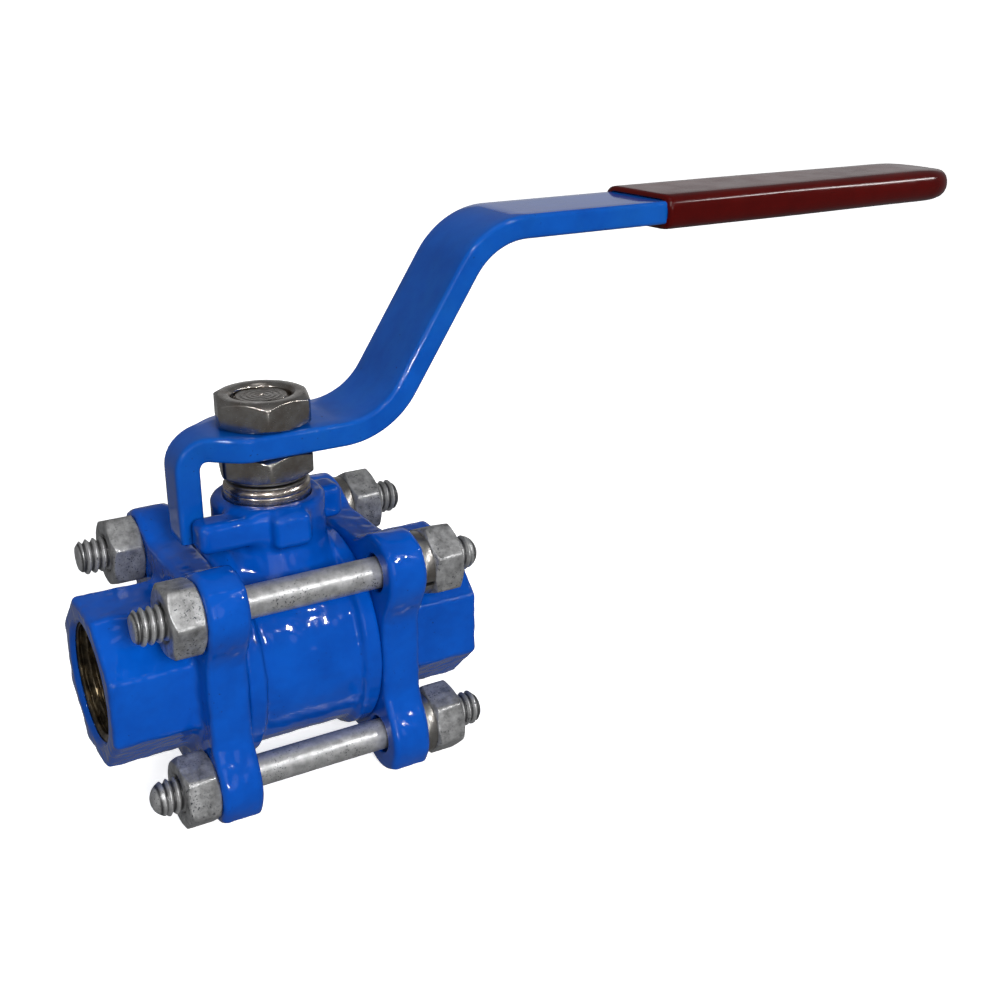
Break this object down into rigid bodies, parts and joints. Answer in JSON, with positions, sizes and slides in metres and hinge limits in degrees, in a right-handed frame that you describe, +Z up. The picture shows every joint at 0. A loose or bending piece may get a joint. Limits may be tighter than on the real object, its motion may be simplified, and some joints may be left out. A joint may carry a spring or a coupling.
{
  "type": "ball valve",
  "caption": "Lever-operated ball valve with threaded ports, end caps bolted to a center body, and a cranked handle that turns the ball to open or shut the flow.",
  "frame": {"origin": "center of the ball, where the flow axis crosses the stem axis", "axes": "+X along the flow from the left port to the right port, the way the open lever points; +Z up along the stem; +Y away from the side with the short front pad"},
  "size_m": [0.1895, 0.0448, 0.0955],
  "materials": {
    "body_enamel": "glossy saturated blue enamel over a steel casting",
    "lever_enamel": "glossy blue enamel over bent flat steel bar",
    "polished_steel": "mirror-polished stainless steel",
    "stainless_steel": "machined stainless steel, slightly brown where it reflects its surroundings",
    "spring_steel": "plain spring steel, lightly zinc plated",
    "zinc_steel": "dull grey zinc plate with dark speckles",
    "ptfe": "white PTFE, waxy and matt",
    "red_vinyl": "glossy dark red dipped vinyl"
  },
  "bodies": {
    "housing": {"center_body": "body_enamel", "end_cap_left": "body_enamel", "end_cap_right": "body_enamel", "seat_left": "ptfe", "seat_right": "ptfe", "body_seal_left": "ptfe", "body_seal_right": "ptfe", "thrust_washer": "ptfe", "packing_ring_lower": "ptfe", "packing_ring_upper": "ptfe", "gland_ring": "stainless_steel", "body_studs": "zinc_steel", "stud_nuts_left": "zinc_steel", "stud_nuts_right": "zinc_steel", "spring_washers": "spring_steel"},
    "handle": {"stem": "stainless_steel", "disc_spring_lower": "spring_steel", "disc_spring_upper": "spring_steel", "gland_nut": "stainless_steel", "lever": "lever_enamel", "lever_grip": "red_vinyl", "lever_nut": "stainless_steel"},
    "ball": {"ball": "polished_steel"}
  },
  "joints": [
    {"name": "handle_turn", "type": "hinge", "parent": "housing", "child": "handle", "pos_m": [0, 0, 0], "axis": [0, 0, 1], "range_deg": [-90, 0]},
    {"name": "ball_turn", "type": "hinge", "parent": "housing", "child": "ball", "pos_m": [0, 0, 0], "axis": [0, 0, 1], "range_deg": [-90, 0]}
  ],
  "couplings": [
    {"joint": "ball_turn", "follows": "handle_turn", "ratio": 1}
  ]
}
